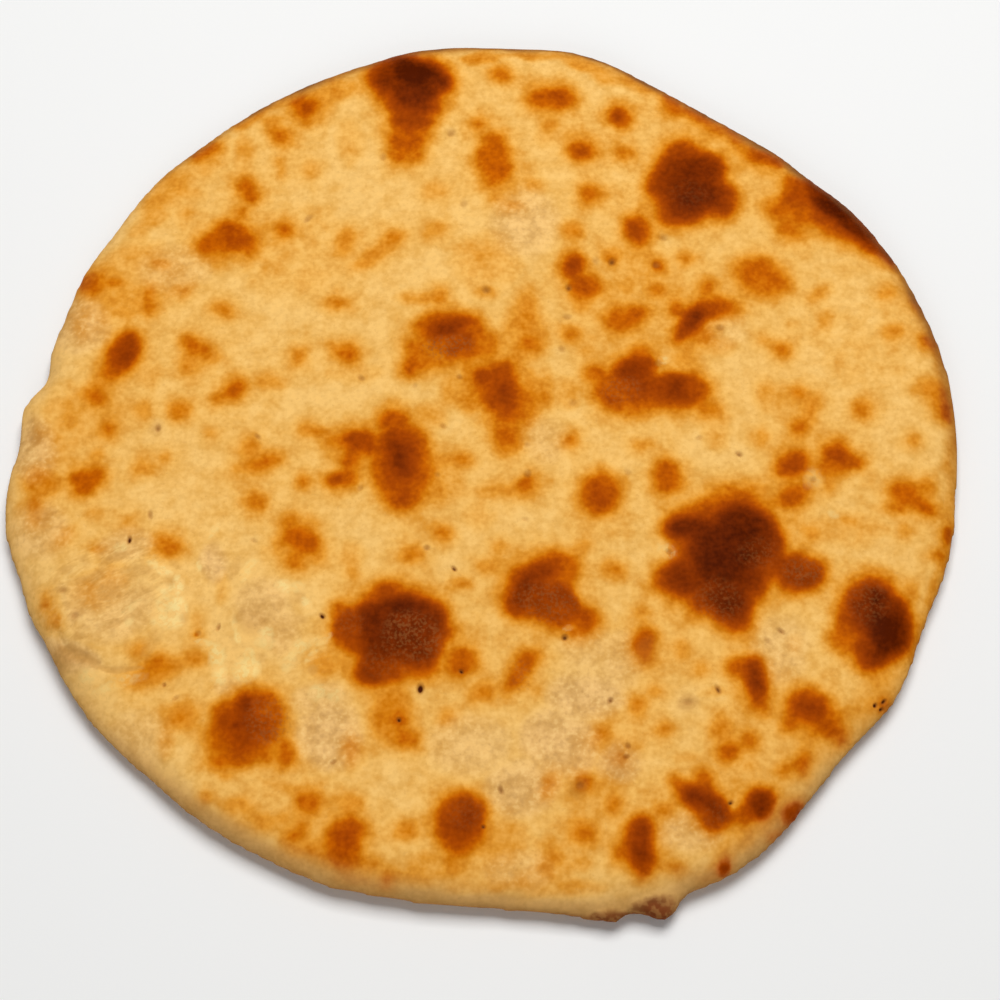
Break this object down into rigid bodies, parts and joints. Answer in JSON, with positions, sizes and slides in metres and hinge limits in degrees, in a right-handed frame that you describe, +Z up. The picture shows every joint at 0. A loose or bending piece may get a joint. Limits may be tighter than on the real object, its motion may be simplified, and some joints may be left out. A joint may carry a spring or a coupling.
{
  "type": "bean-stuffed flatbread",
  "caption": "Round, flat stuffed bread with a rounded hand-pressed rim, toasted blisters on its top and a flat underside to rest on.",
  "frame": {"origin": "on the table, under the middle of the bread's width and depth", "axes": "+Z up, out of the toasted top; -Y towards the edge nearest the viewer, with +X to the viewer's right"},
  "size_m": [0.2812, 0.2826, 0.015],
  "materials": {
    "crust": "satin"
  },
  "bodies": {
    "root": {"flatbread": "crust"}
  },
  "joints": []
}
